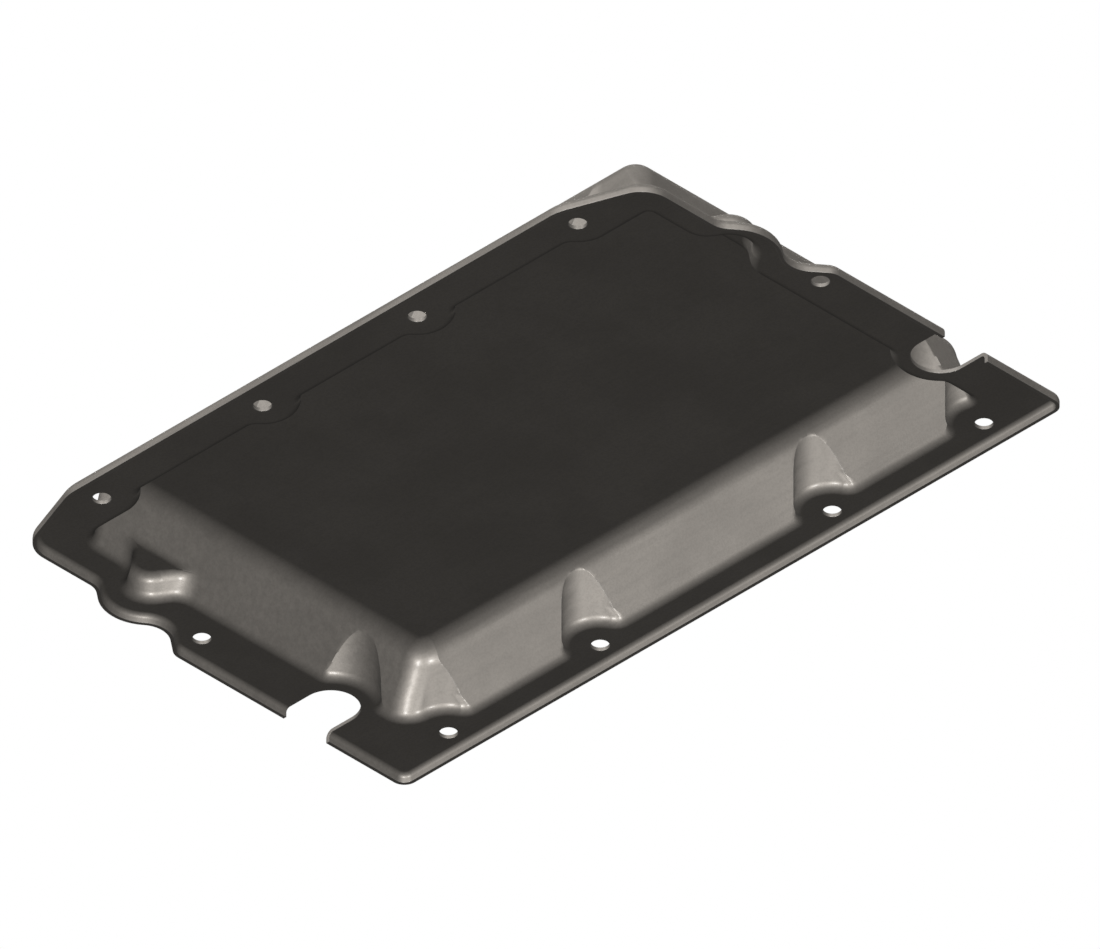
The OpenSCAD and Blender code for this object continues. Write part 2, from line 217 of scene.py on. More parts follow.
@dataclass(frozen=True)
class PressedSteel:
    """Bare pressed steel with a grey-brown tone, polished where the press drew it.

    Attributes:
        name: Name of the material.
        tone: Colour of the plain sheet.
        deep: Colour of the cloudy darker places.
        dull: Colour of the fine specks where the scale was.
        polished: Colour where bends and edges are rubbed bright.
        cloud: Range of mottling that turns the sheet from deep to plain.
        speck: Range of pits in which the specks come in.
        speckle: How strongly the specks show.
        metallic: Share of bare metal.
        roughness: Roughness of the plain sheet.
        swing: How far the grain takes the roughness up and down.
        swing_span: Range of grain that does so.
        coat: Weight of the thin film of oil.
        coat_roughness: Roughness of that film.
        bump: Depth of the grain, in metres.
        bump_strength: How strongly the grain tilts the light.
        grain_share: Share of the grain in the relief.
        pits_share: Share of the pits in it.
        edge_radius: How far the wear reaches from an edge, in metres.
        edge_samples: Rays that look for an edge.
        edge_span: Likeness of blurred and true normals, from no wear to full wear.
        patch_span: Range of mottling in which the wear comes in.
        patch_least: Wear that is left outside its patches.
        rubbed: How far worn places take the polished colour.
        smoothed: How much smoother worn places are.
    """

    name: str = "pressed steel"
    tone: Colour = (0.545, 0.506, 0.46)
    deep: Colour = (0.488, 0.453, 0.412)
    dull: Colour = (0.33, 0.302, 0.27)
    polished: Colour = (0.72, 0.69, 0.65)
    cloud: Span = (0.36, 0.66)
    speck: Span = (0.42, 0.62)
    speckle: float = 0.2
    metallic: float = 0.69
    roughness: float = 0.57
    swing: float = 0.05
    swing_span: Span = (0.3, 0.7)
    coat: float = 0.6
    coat_roughness: float = 0.26
    bump: float = 0.00006
    bump_strength: float = 0.35
    grain_share: float = 0.6
    pits_share: float = 0.4
    edge_radius: float = 0.0011
    edge_samples: int = 4
    edge_span: Span = (0.985, 0.86)
    patch_span: Span = (0.3, 0.6)
    patch_least: float = 0.45
    rubbed: float = 0.55
    smoothed: float = 0.12

    def build(self, grain: NodeTree) -> Material:
        """Make the material around the shared grain group."""
        made = bpy.data.materials.new(self.name)
        made.use_nodes = True
        bench = NodeBench(made.node_tree)
        out = bench.node("ShaderNodeOutputMaterial")
        shader = bench.node("ShaderNodeBsdfPrincipled")
        bench.feed(out, {"Surface": shader.outputs["BSDF"]})
        where = bench.node("ShaderNodeTexCoord").outputs["Object"]
        effect = bench.node("ShaderNodeGroup", node_tree=grain)
        bench.feed(effect, {"Vector": where})
        names = ("Mottle", "Grain", "Pits")
        mottle, fine, pits = (effect.outputs[name] for name in names)
        worn = self.wear(bench, mottle)

        cloud = bench.ramp(mottle, self.cloud)
        base = bench.mix(cloud, colour(self.deep), colour(self.tone))
        specks = bench.ramp(pits, self.speck, (0.0, self.speckle))
        base = bench.mix(specks, base, colour(self.dull))
        rubbed = bench.maths("MULTIPLY", worn, self.rubbed)
        base = bench.mix(rubbed, base, colour(self.polished))

        around = (self.roughness - self.swing, self.roughness + self.swing)
        rough = bench.ramp(fine, self.swing_span, around)
        smoothed = bench.maths("MULTIPLY", worn, self.smoothed)
        rough = bench.maths("SUBTRACT", rough, smoothed)

        lines = bench.maths("MULTIPLY", fine, self.grain_share)
        sand = bench.maths("MULTIPLY", pits, self.pits_share)
        height = bench.maths("ADD", lines, sand)
        relief = bench.node("ShaderNodeBump")
        depth = {"Strength": self.bump_strength, "Distance": self.bump}
        bench.feed(relief, {"Height": height, **depth})
        bench.feed(
            shader,
            {
                "Base Color": base,
                "Roughness": rough,
                "Metallic": self.metallic,
                "Coat Weight": self.coat,
                "Coat Roughness": self.coat_roughness,
                "Normal": relief.outputs["Normal"],
            },
        )
        return made

    def wear(self, bench: NodeBench, mottle: NodeSocket) -> NodeSocket:
        """Return a mask of the edges and tight bends, broken up by the mottling."""
        bevel = bench.node("ShaderNodeBevel", samples=self.edge_samples)
        bench.feed(bevel, {"Radius": self.edge_radius})
        flat = bench.node("ShaderNodeNewGeometry")
        turn = bench.node("ShaderNodeVectorMath", operation="DOT_PRODUCT")
        bench.feed(turn, {0: bevel.outputs["Normal"], 1: flat.outputs["Normal"]})
        edge = bench.ramp(turn.outputs["Value"], self.edge_span)
        patchy = bench.ramp(mottle, self.patch_span, (self.patch_least, 1.0))
        return bench.maths("MULTIPLY", edge, patchy)


# The pressed cover


@dataclass(frozen=True)
class Layout:
    """Places that the dish, the flange and the holes share, in millimetres.

    X runs along the cover from its middle, and Y across it from the middle of the
    bolt rows. Each place is there on the left and on the right.

    Attributes:
        row_y: Distance to either row of bolts.
        front_outer: Distance to the outer bolts of the front row.
        front_inner: Distance to its inner bolts.
        back_outer: Distance to the outer bolts of the back row.
        back_inner: Distance to its inner bolts.
        side_bolt_x: Distance to the bolts at the short sides.
        side_bolt_y: Distance of those bolts towards the back.
        notch_x: Distance to the centre of a notch's round end.
        notch_y: Distance of the notches towards the front.
        ear_y: Distance of the ears and their pockets towards the back.
    """

    row_y: float = 100.45
    front_outer: float = 142.875
    front_inner: float = 61.9
    back_outer: float = 127.0
    back_inner: float = 41.275
    side_bolt_x: float = 165.1
    side_bolt_y: float = 9.0
    notch_x: float = 162.7
    notch_y: float = 57.4
    ear_y: float = 46.8


@dataclass(frozen=True)
class DrawnDish(Layout):
    """Shape of the inside face of the drawn dish, in millimetres.

    Heights are measured from the lower face of the flange.

    Attributes:
        length: Length of the mouth.
        front: Distance to its front.
        back: Distance to its back.
        height: Height of the ceiling.
        side_draft: Slope of the short walls from upright, in degrees.
        front_draft: Slope of the front wall.
        back_draft: Slope of the back wall.
        crown_r: Radius between walls and ceiling.
        bend_r: Radius between flange and walls.
        right_front_r: Radius of the right front upright corner, at its foot.
        right_front_swell: How much that radius has grown at the crown.
        left_front_r: Radius of the left front corner.
        back_corner_r: Radius of the back corners.
        right_tail_r: Radius between the right back corner and the flat beside it.
        left_tail_r: The same on the left, where it takes up the whole corner.
        relief_r: Radius of the hollows round the bolts.
        relief_out_r: Radius that runs a hollow out into the foot of its wall.
        notch_relief_r: Radius of the hollow round a notch.
        pocket_x: Distance to the centre of a pocket.
        pocket_r: Its radius.
        pocket_h: Height of its roof.
        pocket_crown_r: Radius between its wall and its roof.
        pocket_blend_r: Radius that blends it into the short wall.
        brow_r: Radius between its roof and the wall above it.
        fade: Least half width over which a fading hollow is sampled.
        land: Least length of wall between a hollow and a corner.
        least_r: Least plan radius of a corner at the ceiling.
        most_round: Largest share of a hollow's half width that is its round.
        round_steps: Steps along that round.
        blend_steps: Steps where a hollow meets its wall.
        corner_steps: Steps round an upright corner.
        lead: Length of wall that is traced beside a hollow or a back corner.
        ease: Length over which a back corner's round gives way to its flat.
        bend_steps: Steps round a bend.
        wall_steps: Steps up the plain wall.
        crown_start: Angle at which the rings round the crown start, in degrees.
        crown_steps: Steps round the crown.
    """

    length: float = 308.1
    front: float = 99.6
    back: float = 96.6
    height: float = 30.2
    side_draft: float = 16.5
    front_draft: float = 21.7
    back_draft: float = 16.3
    crown_r: float = 8.9
    bend_r: float = 3.74
    right_front_r: float = 2.4
    right_front_swell: float = 5.0
    left_front_r: float = 9.0
    back_corner_r: float = 8.3
    right_tail_r: float = 1.6
    left_tail_r: float = 8.3
    relief_r: float = 14.65
    relief_out_r: float = 4.0
    notch_relief_r: float = 19.05
    pocket_x: float = 153.7
    pocket_r: float = 9.4
    pocket_h: float = 11.1
    pocket_crown_r: float = 3.7
    pocket_blend_r: float = 8.5
    brow_r: float = 3.7
    fade: float = 5.0
    land: float = 0.8
    least_r: float = 0.8
    most_round: float = 0.85
    round_steps: int = 12
    blend_steps: int = 4
    corner_steps: int = 16
    lead: float = 1.5
    ease: float = 0.8
    bend_steps: int = 9
    wall_steps: int = 12
    crown_start: float = 12.0
    crown_steps: int = 14

    @property
    def crown_z(self) -> float:
        """Height of the middle of the crown's radius."""
        return self.height - self.crown_r

    def wall_inset(self, draft: float, z: float) -> float:
        """Return a wall's distance inside the mouth line, by its draft and height."""
        slope = math.radians(draft)
        low_z = self.bend_r * (1 - math.sin(slope))
        top_z = self.crown_z + self.crown_r * math.sin(slope)
        if z < low_z:
            return self.foot_inset(z)
        foot = self.bend_r * math.cos(slope)
        if z < top_z:
            return foot + (z - low_z) * math.tan(slope)
        run = foot + self.crown_r * math.cos(slope) + (top_z - low_z) * math.tan(slope)
        return run - self.crown_part(z)

    def crown_part(self, z: float) -> float:
        """Return how far the crown's arc still reaches sideways at a height."""
        return leg(self.crown_r, max(0.0, z - self.crown_z))

    def foot_inset(self, z: float) -> float:
        """Return how far an upright face lies inside its mouth line at a height."""
        if z >= self.bend_r:
            return self.bend_r
        return leg(self.bend_r, self.bend_r - z)

    def bump_half(self, r: float, gap: float, blend: float) -> float:
        """Return how far from its middle a swelling meets its wall."""
        return max(self.fade, leg(r + blend, gap + blend))

    @staticmethod
    def bump(u: float, r: float, gap: float, blend: float) -> float:
        """Return how far a round of radius r stands out from its wall, at u along it.

        Its centre lies by gap behind the wall, and the radius blend joins the two.
        """
        end = leg(r + blend, gap + blend)
        along = abs(u)
        if gap >= r or along >= end:
            return 0.0
        if along > end * r / (r + blend):
            return blend - leg(blend, end - along)
        return max(0.0, leg(r, u) - gap)

    def steps(self, knee: float) -> list[float]:
        """Return samples of half a swelling, from 0 to 1, whose round ends at knee."""
        turns = spread(0.0, math.pi / 2, self.round_steps)
        round_part = [knee * math.sin(turn) for turn in turns]
        return round_part + spread(knee, 1.0, self.blend_steps)[1:]

    def both_ways(self, knee: float) -> list[float]:
        """Return the samples of a whole swelling, from -1 to 1."""
        half = self.steps(knee)
        return [-s for s in reversed(half[1:])] + half

    def corner_radius(self, r: float, z: float) -> float:
        """Return the plan radius of an upright corner at a height."""
        if z < self.crown_z:
            return r + self.bend_r - self.foot_inset(z)
        return max(self.least_r, r - self.crown_r + self.crown_part(z))

    def corner(self, centre: Spot, r: float, start: float, end: float) -> Trail:
        """Return the arc of an upright corner between two angles in degrees."""
        turns = [math.radians(a) for a in spread(start, end, self.corner_steps)]
        x, y = centre
        return [(x + r * math.cos(a), y + r * math.sin(a)) for a in turns]

    def half_ring(self, z: float, front_r: float, tail_r: float) -> Trail:
        """Trace the inside face at one height, from the front middle to the back.

        Args:
            z: The height.
            front_r: Radius of this side's front corner.
            tail_r: Radius beside the flat at its back corner.

        Returns:
            The points on the +X side, always the same number of them.
        """
        side = self.length / 2 - self.wall_inset(self.side_draft, z)
        front_gap = self.row_y - self.front
        ahead = Hollow(self, z, self.relief_r, front_gap, self.front_draft)
        behind = Hollow(self, z, self.relief_r, self.row_y - self.back, self.back_draft)
        corner_r = self.relief_r + self.crown_r - self.crown_part(z)
        corner = Hollow(self, z, corner_r, front_gap, self.front_draft)
        notch_gap = self.notch_x - self.length / 2
        notch = Hollow(self, z, self.notch_relief_r, notch_gap, self.side_draft)
        row = self.row_y
        return (
            [(0.0, row - ahead.wall)]
            + [(self.front_inner + u, row - d) for u, d in ahead.trace(self.lead)]
            + self.front_end(side, corner, self.corner_radius(front_r, z))
            + [(self.notch_x - d, self.notch_y - u) for u, d in notch.trace()]
            + [(side, self.notch_y - notch.half - self.lead)]
            + self.pocket(side, z)
            + self.back_end(side, behind, z, tail_r)
            + [(self.back_inner - u, d - row) for u, d in behind.trace(self.lead)]
            + [(0.0, behind.wall - row)]
        )

    def front_end(self, side: float, hollow: "Hollow", turn: float) -> Trail:
        """Trace the hollow round an outer front bolt and the corner it runs into."""
        aside = side - turn - self.front_outer
        drop = leg(hollow.r + turn, aside)
        touch = aside * hollow.r / (hollow.r + turn)
        points = []
        for s in reversed(self.steps(hollow.knee)):
            u = touch - (hollow.half + touch) * s
            points.append((self.front_outer + u, self.row_y - hollow.depth(u)))
        angle = math.degrees(math.atan2(drop, -aside))
        return points + self.corner((side - turn, self.row_y - drop), turn, angle, 0.0)

    def pocket(self, side: float, z: float) -> Trail:
        """Trace the pocket that is pressed out of a short wall behind an ear."""
        crown_z = self.pocket_h - self.pocket_crown_r
        level = min(z, self.pocket_h)
        r = self.pocket_r + self.bend_r - self.foot_inset(z)
        if level > crown_z:
            arc = leg(self.pocket_crown_r, level - crown_z)
            r = self.pocket_r - self.pocket_crown_r + arc
        blend = self.pocket_r + self.bend_r + self.pocket_blend_r - r
        gap = self.length / 2 - self.wall_inset(self.side_draft, level) - self.pocket_x
        end = self.bump_half(r, gap, blend)
        most = math.inf if z <= self.pocket_h else self.brow(z)
        places = [s * end for s in self.both_ways(r / (r + blend))]
        stands = [min(self.bump(u, r, gap, blend), most) for u in places]
        return [(side + out, -self.ear_y - u) for u, out in zip(places, stands)]

    def brow(self, z: float) -> float:
        """Return how far the round over a pocket stands out from the wall above."""
        draft, end = self.side_draft, self.brow_end
        if z >= end:
            return 0.0
        wall = self.wall_inset(draft, z) - self.wall_inset(draft, end)
        reach = leg(self.brow_r, self.pocket_h + self.brow_r - z)
        return max(0.0, self.brow_r * math.cos(math.radians(draft)) + wall - reach)

    @property
    def brow_end(self) -> float:
        """Height where the round over a pocket's roof runs into the wall."""
        slope = math.radians(self.side_draft)
        return self.pocket_h + self.brow_r * (1 - math.sin(slope))

    def back_end(self, side: float, hollow: "Hollow", z: float, tail_r: float) -> Trail:
        """Trace the corner at the back, the flat beside it and the hollow before it.

        Args:
            side: Distance of the short wall.
            hollow: The hollow round the outer bolt.
            z: The height.
            tail_r: Radius between the corner and the flat.

        Returns:
            The points, in the direction of the ring.
        """
        turn = self.corner_radius(self.back_corner_r, z)
        tail = min(tail_r + self.bend_r - self.foot_inset(z), turn)
        flat = self.row_y - hollow.depth(0.0)
        free = flat - tail - (self.row_y - hollow.wall - turn)
        rise = min((free + math.hypot(free, self.ease)) / 2, turn - tail)
        low = flat - tail - rise
        run = leg(turn - tail, rise)
        bend = math.atan2(rise, run) if rise > 0 else 0.0
        spans = (self.lead, turn * bend, tail * (math.pi / 2 - bend))
        points = []
        for far in spread(0.0, sum(spans), self.corner_steps):
            if far <= spans[0]:
                points.append((side, spans[0] - far - low))
            elif far <= spans[0] + spans[1]:
                a = (far - spans[0]) / turn
                x = side - turn + turn * math.cos(a)
                points.append((x, -low - turn * math.sin(a)))
            else:
                a = bend + (far - spans[0] - spans[1]) / tail
                x = side - turn + run + tail * math.cos(a)
                points.append((x, tail - flat - tail * math.sin(a)))
        reach = min(self.back_outer, side - turn - self.land)
        start = min(self.back_outer - hollow.half, reach - self.fade)
        for s in self.steps(hollow.knee):
            x = reach - (reach - start) * s
            points.append((x, hollow.depth(x - self.back_outer) - self.row_y))
        return points

    def levels(self) -> list[float]:
        """Return the heights of the rings, from the mouth to the ceiling."""
        quarter = math.pi / 2
        turn = spread(0.0, quarter, self.bend_steps)
        bend = [self.bend_r * (1 - math.cos(a)) for a in turn]
        roof_z = self.pocket_h - self.pocket_crown_r
        roof = [roof_z + self.pocket_crown_r * math.sin(a) for a in turn]
        lean = math.acos(math.sin(math.radians(self.side_draft)))
        over = [self.brow_r * (1 - math.cos(lean * a / quarter)) for a in turn[2:]]
        brow = [self.pocket_h + up for up in [ROOF_GAP] + over]
        arc = spread(math.radians(self.crown_start), quarter, self.crown_steps)
        top = [self.crown_z + self.crown_r * math.sin(a) for a in arc]
        wall = spread(brow[-1], top[0], self.wall_steps)[1:-1]
        return bend + roof + brow + wall + top

    def ring(self, z: float) -> list[Point]:
        """Return one whole level ring as points at height z."""
        swell = self.right_front_swell * min(1.0, z / self.crown_z) ** 2
        right = self.half_ring(z, self.right_front_r + swell, self.right_tail_r)
        left = self.half_ring(z, self.left_front_r, self.left_tail_r)
        back = [(-x, y) for x, y in reversed(left[1:-1])]
        return [(x, y, z) for x, y in right + back]


class Hollow:
    """Round swelling of a wall that clears a bolt or a notch, at one height.

    The swelling stands upright and runs out in a round at the wall's foot. The wall
    leans in over it, so higher up the two meet in a crease.
    """

    def __init__(
        self, dish: DrawnDish, z: float, radius: float, gap: float, draft: float
    ) -> None:
        """Find the swelling's sizes at one height.

        Args:
            dish: The dish it belongs to.
            z: The height.
            radius: Radius of the swelling above the bend.
            gap: How far its centre lies behind the mouth line.
            draft: Slope of its wall from upright, in degrees.
        """
        rise = dish.foot_inset(z)
        lean = dish.wall_inset(draft, z) - rise
        self.dish = dish
        self.r = radius - dish.bend_r + rise
        self.blend = dish.relief_out_r + dish.bend_r - rise
        self.gap = gap + rise
        self.lean = lean
        self.wall = self.gap + lean
        foot = dish.bump_half(self.r, self.gap, self.blend)
        if lean * (self.r + self.blend) < self.blend * (self.r - self.gap):
            self.half = foot - leg(self.blend, self.blend - lean)
        else:
            self.half = max(dish.fade, leg(self.r, self.wall))
        round_part = foot * self.r / (self.r + self.blend)
        self.knee = min(dish.most_round, round_part / self.half)

    def depth(self, u: float) -> float:
        """Return how far the face lies from the centre line, at u along the wall."""
        stands = self.dish.bump(u, self.r, self.gap, self.blend) - self.lean
        return self.wall + max(0.0, stands)

    def trace(self, lead: float = 0.0) -> Trail:
        """Sample the swelling, and the plain wall beside it over the length of lead."""
        ways = self.dish.both_ways(self.knee)
        found = [(s * self.half, self.depth(s * self.half)) for s in ways]
        if lead > 0:
            end = self.half + lead
            found = [(-end, self.wall)] + found + [(end, self.wall)]
        return found


@dataclass(frozen=True)
class FlangeEdge(Layout):
    """Outline of the flange, its turned-down lip and its notches, in millimetres.

    Attributes:
        half_l: Half the length over the lips.
        front: Distance to the front lip.
        back: Distance to the back lip.
        front_r: Radius of the front corners.
        waist_x: Half the length over the narrower back end.
        chamfer_l: Length of the sloping cut at a back corner.
        chamfer_w: Its depth.
        chamfer_r: Radius between the cut and the back lip.
        waist_corner_r: Radius between the cut and the short side.
        lip_h: Depth of the lip.
        lip_r: Inside radius of its bend.
        sheet_t: Thickness of the sheet.
        ear_reach: Distance to the crest of an ear.
        ear_r: Radius of its crest.
        dip_reach: Distance to the dip beside it.
        dip_r: Radius of the dip.
        ear_slope: Slope of an ear's flanks, in degrees.
        shoulder_r: Radius where the side turns in.
        waist_r: Radius where the ear runs out.
        notch_w: Width of a notch.
        collar: Width of the narrow band of faces beside a cut.
        arc_step: Largest turn between two points of an arc, in degrees.
        lip_steps: Steps round the lip's bend.
        notch_steps: Steps round a notch's end.
    """

    half_l: float = 176.5
    front: float = 110.5
    back: float = 115.1
    front_r: float = 5.5
    waist_x: float = 166.4
    chamfer_l: float = 35.9
    chamfer_w: float = 13.1
    chamfer_r: float = 20.8
    waist_corner_r: float = 13.7
    lip_h: float = 3.84
    lip_r: float = 1.92
    sheet_t: float = 1.52
    ear_reach: float = 174.9
    ear_r: float = 19.6
    dip_reach: float = 168.1
    dip_r: float = 11.5
    ear_slope: float = 38.0
    shoulder_r: float = 6.9
    waist_r: float = 9.2
    notch_w: float = 22.7
    collar: float = 0.5
    arc_step: float = 6.0
    lip_steps: int = 8
    notch_steps: int = 36

    def arc(
        self, centre: Spot, r: float, start: float, end: float, out: float = 1.0
    ) -> Outline:
        """Return an arc between two angles in degrees as a part of the outline.

        The value of out is -1 where the outline is hollow, and else 1.
        """
        count = max(2, math.ceil(abs(end - start) / self.arc_step))
        rows = []
        for angle in spread(start, end, count):
            a = math.radians(angle)
            c, s = math.cos(a), math.sin(a)
            rows.append((centre[0] + r * c, centre[1] + r * s, out * c, out * s))
        return rows

    def rounded(self, p: Spot, r: float, start: float, end: float) -> Outline:
        """Round the corner p, where the outward direction turns from start to end."""
        mid = math.radians((start + end) / 2)
        d = r / math.cos(math.radians((end - start) / 2))
        c, s = d * math.cos(mid), d * math.sin(mid)
        if end < start:
            return self.arc((p[0] - c, p[1] - s), r, start, end)
        return self.arc((p[0] + c, p[1] + s), r, start + 180.0, end + 180.0, out=-1.0)

    def front_strip(self) -> Outline:
        """Return the outline from the front middle to the notch on the +X side."""
        edge = self.notch_y + self.notch_w / 2
        r = self.front_r
        return (
            [(0.0, self.front, 0.0, 1.0)]
            + self.arc((self.half_l - r, self.front - r), r, 90.0, 0.0)
            + [(self.half_l, y, 1.0, 0.0) for y in (edge + self.collar, edge)]
        )

    def back_strip(self) -> Outline:
        """Return the outline from the notch on the +X side to the back middle."""
        edge = self.notch_y - self.notch_w / 2
        lean = self.ear_slope
        slope = math.radians(lean)
        crest = self.ear_reach + self.ear_r * (1 / math.cos(slope) - 1)
        dip = self.dip_reach - self.dip_r * (1 / math.cos(slope) - 1)
        dip_y = -self.ear_y + (crest - dip) / math.tan(slope)
        shoulder_y = dip_y + (self.half_l - dip) / math.tan(slope)
        waist_y = -self.ear_y - (crest - self.waist_x) / math.tan(slope)
        cut = math.degrees(math.atan2(self.chamfer_w, self.chamfer_l)) - 90.0
        end_y = self.chamfer_w - self.back
        corners = (
            (self.half_l, shoulder_y, self.shoulder_r, 0.0, -lean),
            (dip, dip_y, self.dip_r, -lean, lean),
            (crest, -self.ear_y, self.ear_r, lean, -lean),
            (self.waist_x, waist_y, self.waist_r, -lean, 0.0),
            (self.waist_x, end_y, self.waist_corner_r, 0.0, cut),
            (self.waist_x - self.chamfer_l, -self.back, self.chamfer_r, cut, -90.0),
        )
        rows = [(self.half_l, y, 1.0, 0.0) for y in (edge, edge - self.collar)]
        for x, y, r, start, end in corners:
            rows += self.rounded((x, y), r, start, end)
        return rows + [(0.0, -self.back, 0.0, -1.0)]

    def profile(self) -> Trail:
        """Return the lip's inside face as distances inside the outline and heights."""
        outer_r = self.lip_r + self.sheet_t
        turn = spread(0.0, math.pi / 2, self.lip_steps)
        r = self.lip_r
        bend = [(outer_r - r * math.sin(a), r * (math.cos(a) - 1)) for a in turn]
        return bend + [(self.sheet_t, -self.lip_h)]

    def notch_arc(self, grow: float) -> Trail:
        """Return a notch's cut edge between its two mouths, grown into the flange."""
        r = self.notch_w / 2 + grow
        flat = self.half_l - self.sheet_t - self.lip_r
        turn = spread(0.0, math.pi, self.notch_steps)
        x, y = self.notch_x, self.notch_y
        round_end = [(x - r * math.sin(a), y + r * math.cos(a)) for a in turn]
        return [(flat, y + r)] + round_end + [(flat, y - r)]


@dataclass(frozen=True)
class BoltPattern(Layout):
    """Bolt holes, in millimetres.

    Attributes:
        diameter: Diameter of a hole.
        facets: Sides of a hole.
    """

    diameter: float = 7.14
    facets: int = 56

    @property
    def places(self) -> Trail:
        """Centres of the holes on the +X side."""
        return [
            (self.front_inner, self.row_y),
            (self.front_outer, self.row_y),
            (self.back_inner, -self.row_y),
            (self.back_outer, -self.row_y),
            (self.side_bolt_x, -self.side_bolt_y),
        ]


@dataclass
class PressedCover:
    """The cover: one sheet of pressed steel.

    Its inside face is laid first: the dish and the lip in rows, then the pierced
    flange between them. The sheet then gets its thickness and its broken edges.

    Attributes:
        name: The piece's name.
        node: Name of the CAD node that it stands for.
        body: Name of the body that it rides on.
        slot: Name of a material slot; not used.
        dish: Shape of the dish.
        edge: Shape of the flange's edge.
        bolts: The bolt holes.
        weld: Distance within which points are joined, in metres.
        edge_break: Size of the broken edges at holes and cuts, in metres.
        break_steps: Faces across a broken edge.
        break_angle: Angle above which an edge is broken, in degrees.
        sharp_angle: Angle above which an edge stays sharp, in degrees.
        finish: The steel's finish.
    """

    name: str = "pressed_sheet"
    node: str = "cover"
    body: str = "root"
    slot: str = "steel"
    dish: DrawnDish = DrawnDish()
    edge: FlangeEdge = FlangeEdge()
    bolts: BoltPattern = BoltPattern()
    weld: float = 0.00001
    edge_break: float = 0.00016
    break_steps: int = 2
    break_angle: float = 60.0
    sharp_angle: float = 40.0
    finish: PressedSteel = PressedSteel()

    def place(self, x: float, y: float, z: float) -> Vector:
        """Turn a point of the sheet, in millimetres, into the frame's own metres."""
        shift = (self.edge.back - self.edge.front) / 2
        return Vector((x, y + shift, z + self.edge.lip_h)) * MM

    def build(self) -> Object:
        """Model the sheet and return the finished piece."""
        piece = self.lay_dish()
        for mirror in (1.0, -1.0):
            self.lay_lip(piece, mirror)
            self.mark_cuts(piece, mirror)
        bpy.ops.mesh.select_all(action="SELECT")
        bpy.ops.mesh.remove_doubles(threshold=self.weld)
        self.fill_flange(piece)
        self.trim_cuts(piece)
        bpy.ops.mesh.select_all(action="SELECT")
        bpy.ops.mesh.remove_doubles(threshold=self.weld)
        self.face_inwards(piece)
        bpy.ops.object.mode_set(mode="OBJECT")
        self.thicken(piece)
        self.shade(piece)
        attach(piece, self.body)
        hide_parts(self.node)
        return piece

    def lay_dish(self) -> Object:
        """Lay the dish from its mouth to its ceiling, and stay in edit mode."""
        levels = self.dish.levels()
        rings = [[self.place(*point) for point in self.dish.ring(z)] for z in levels]
        deselect_all()
        bpy.ops.mesh.primitive_circle_add(vertices=len(rings[0]))
        piece = bpy.context.view_layer.objects.active
        piece.name = piece.data.name = self.name
        bpy.ops.object.mode_set(mode="EDIT")
        mesh = bmesh.from_edit_mesh(piece.data)
        for vert, point in zip(mesh.verts, rings[0]):
            vert.co = point
        bmesh.update_edit_mesh(piece.data)
        row = list(range(len(rings[0])))
        for points in rings[1:]:
            row = self.extrude_row(piece, row, points)
        bpy.ops.mesh.edge_face_add()
        return piece

    def extrude_row(
        self, piece: Object, row: list[int], points: list[Vector]
    ) -> list[int]:
        """Extrude the selected edges from a row of vertices to points in its order."""
        bpy.ops.mesh.extrude_edges_move()
        mesh = bmesh.from_edit_mesh(piece.data)
        mesh.verts.ensure_lookup_table()
        mesh.verts.index_update()
        made = []
        for index, point in zip(row, points):
            old = mesh.verts[index]
            beside = (edge.other_vert(old) for edge in old.link_edges)
            new = next(vert for vert in beside if vert.select)
            new.co = point
            made.append(new.index)
        bmesh.update_edit_mesh(piece.data)
        return made

    def start_row(self, piece: Object, points: list[Vector]) -> list[int]:
        """Draw an open chain of edges, select it alone and return its vertices."""
        bpy.ops.mesh.select_all(action="DESELECT")
        mesh = bmesh.from_edit_mesh(piece.data)
        chain = [mesh.verts.new(point) for point in points]
        for pair in zip(chain, chain[1:]):
            mesh.edges.new(pair).select_set(True)
        mesh.verts.index_update()
        made = [v.index for v in chain]
        bmesh.update_edit_mesh(piece.data)
        return made

    def lay_lip(self, piece: Object, mirror: float) -> None:
        """Lay one side's lip, from the flange round the bend to its lower edge."""
        profile = self.edge.profile()
        for strip in (self.edge.front_strip(), self.edge.back_strip()):
            rows = [
                [self.place(mirror * (x - u * d), y - v * d, z) for x, y, u, v in strip]
                for d, z in profile
            ]
            row = self.start_row(piece, rows[0])
            for points in rows[1:]:
                row = self.extrude_row(piece, row, points)

    def mark_cuts(self, piece: Object, mirror: float) -> None:
        """Draw the collars of one side's notch and bolt holes on the flange."""
        collar = self.edge.collar
        notch = [self.place(mirror * x, y, 0.0) for x, y in self.edge.notch_arc(collar)]
        self.start_row(piece, notch)
        for x, y in self.bolts.places:
            bpy.ops.mesh.select_all(action="DESELECT")
            bpy.ops.mesh.primitive_circle_add(
                vertices=self.bolts.facets,
                radius=(self.bolts.diameter / 2 + collar) * MM,
                location=self.place(mirror * x, y, 0.0),
            )

    def open_on_flange(self, edge: BMEdge) -> bool:
        """Say whether an edge on the flange is open and not a lip's end at a notch."""
        level = self.edge.lip_h * MM
        if len(edge.link_faces) > 1 or any(
            abs(v.co.z - level) >= self.weld for v in edge.verts
        ):
            return False
        middle = self.place(0.0, self.edge.notch_y, 0.0).y
        half = self.edge.notch_w / 2 * MM
        reach = half + self.edge.collar * MM + self.weld
        flat = (self.edge.half_l - self.edge.sheet_t - self.edge.lip_r) * MM
        return not all(
            abs(abs(v.co.x) - flat) < self.weld
            and half - self.weld < abs(v.co.y - middle) < reach
            for v in edge.verts
        )

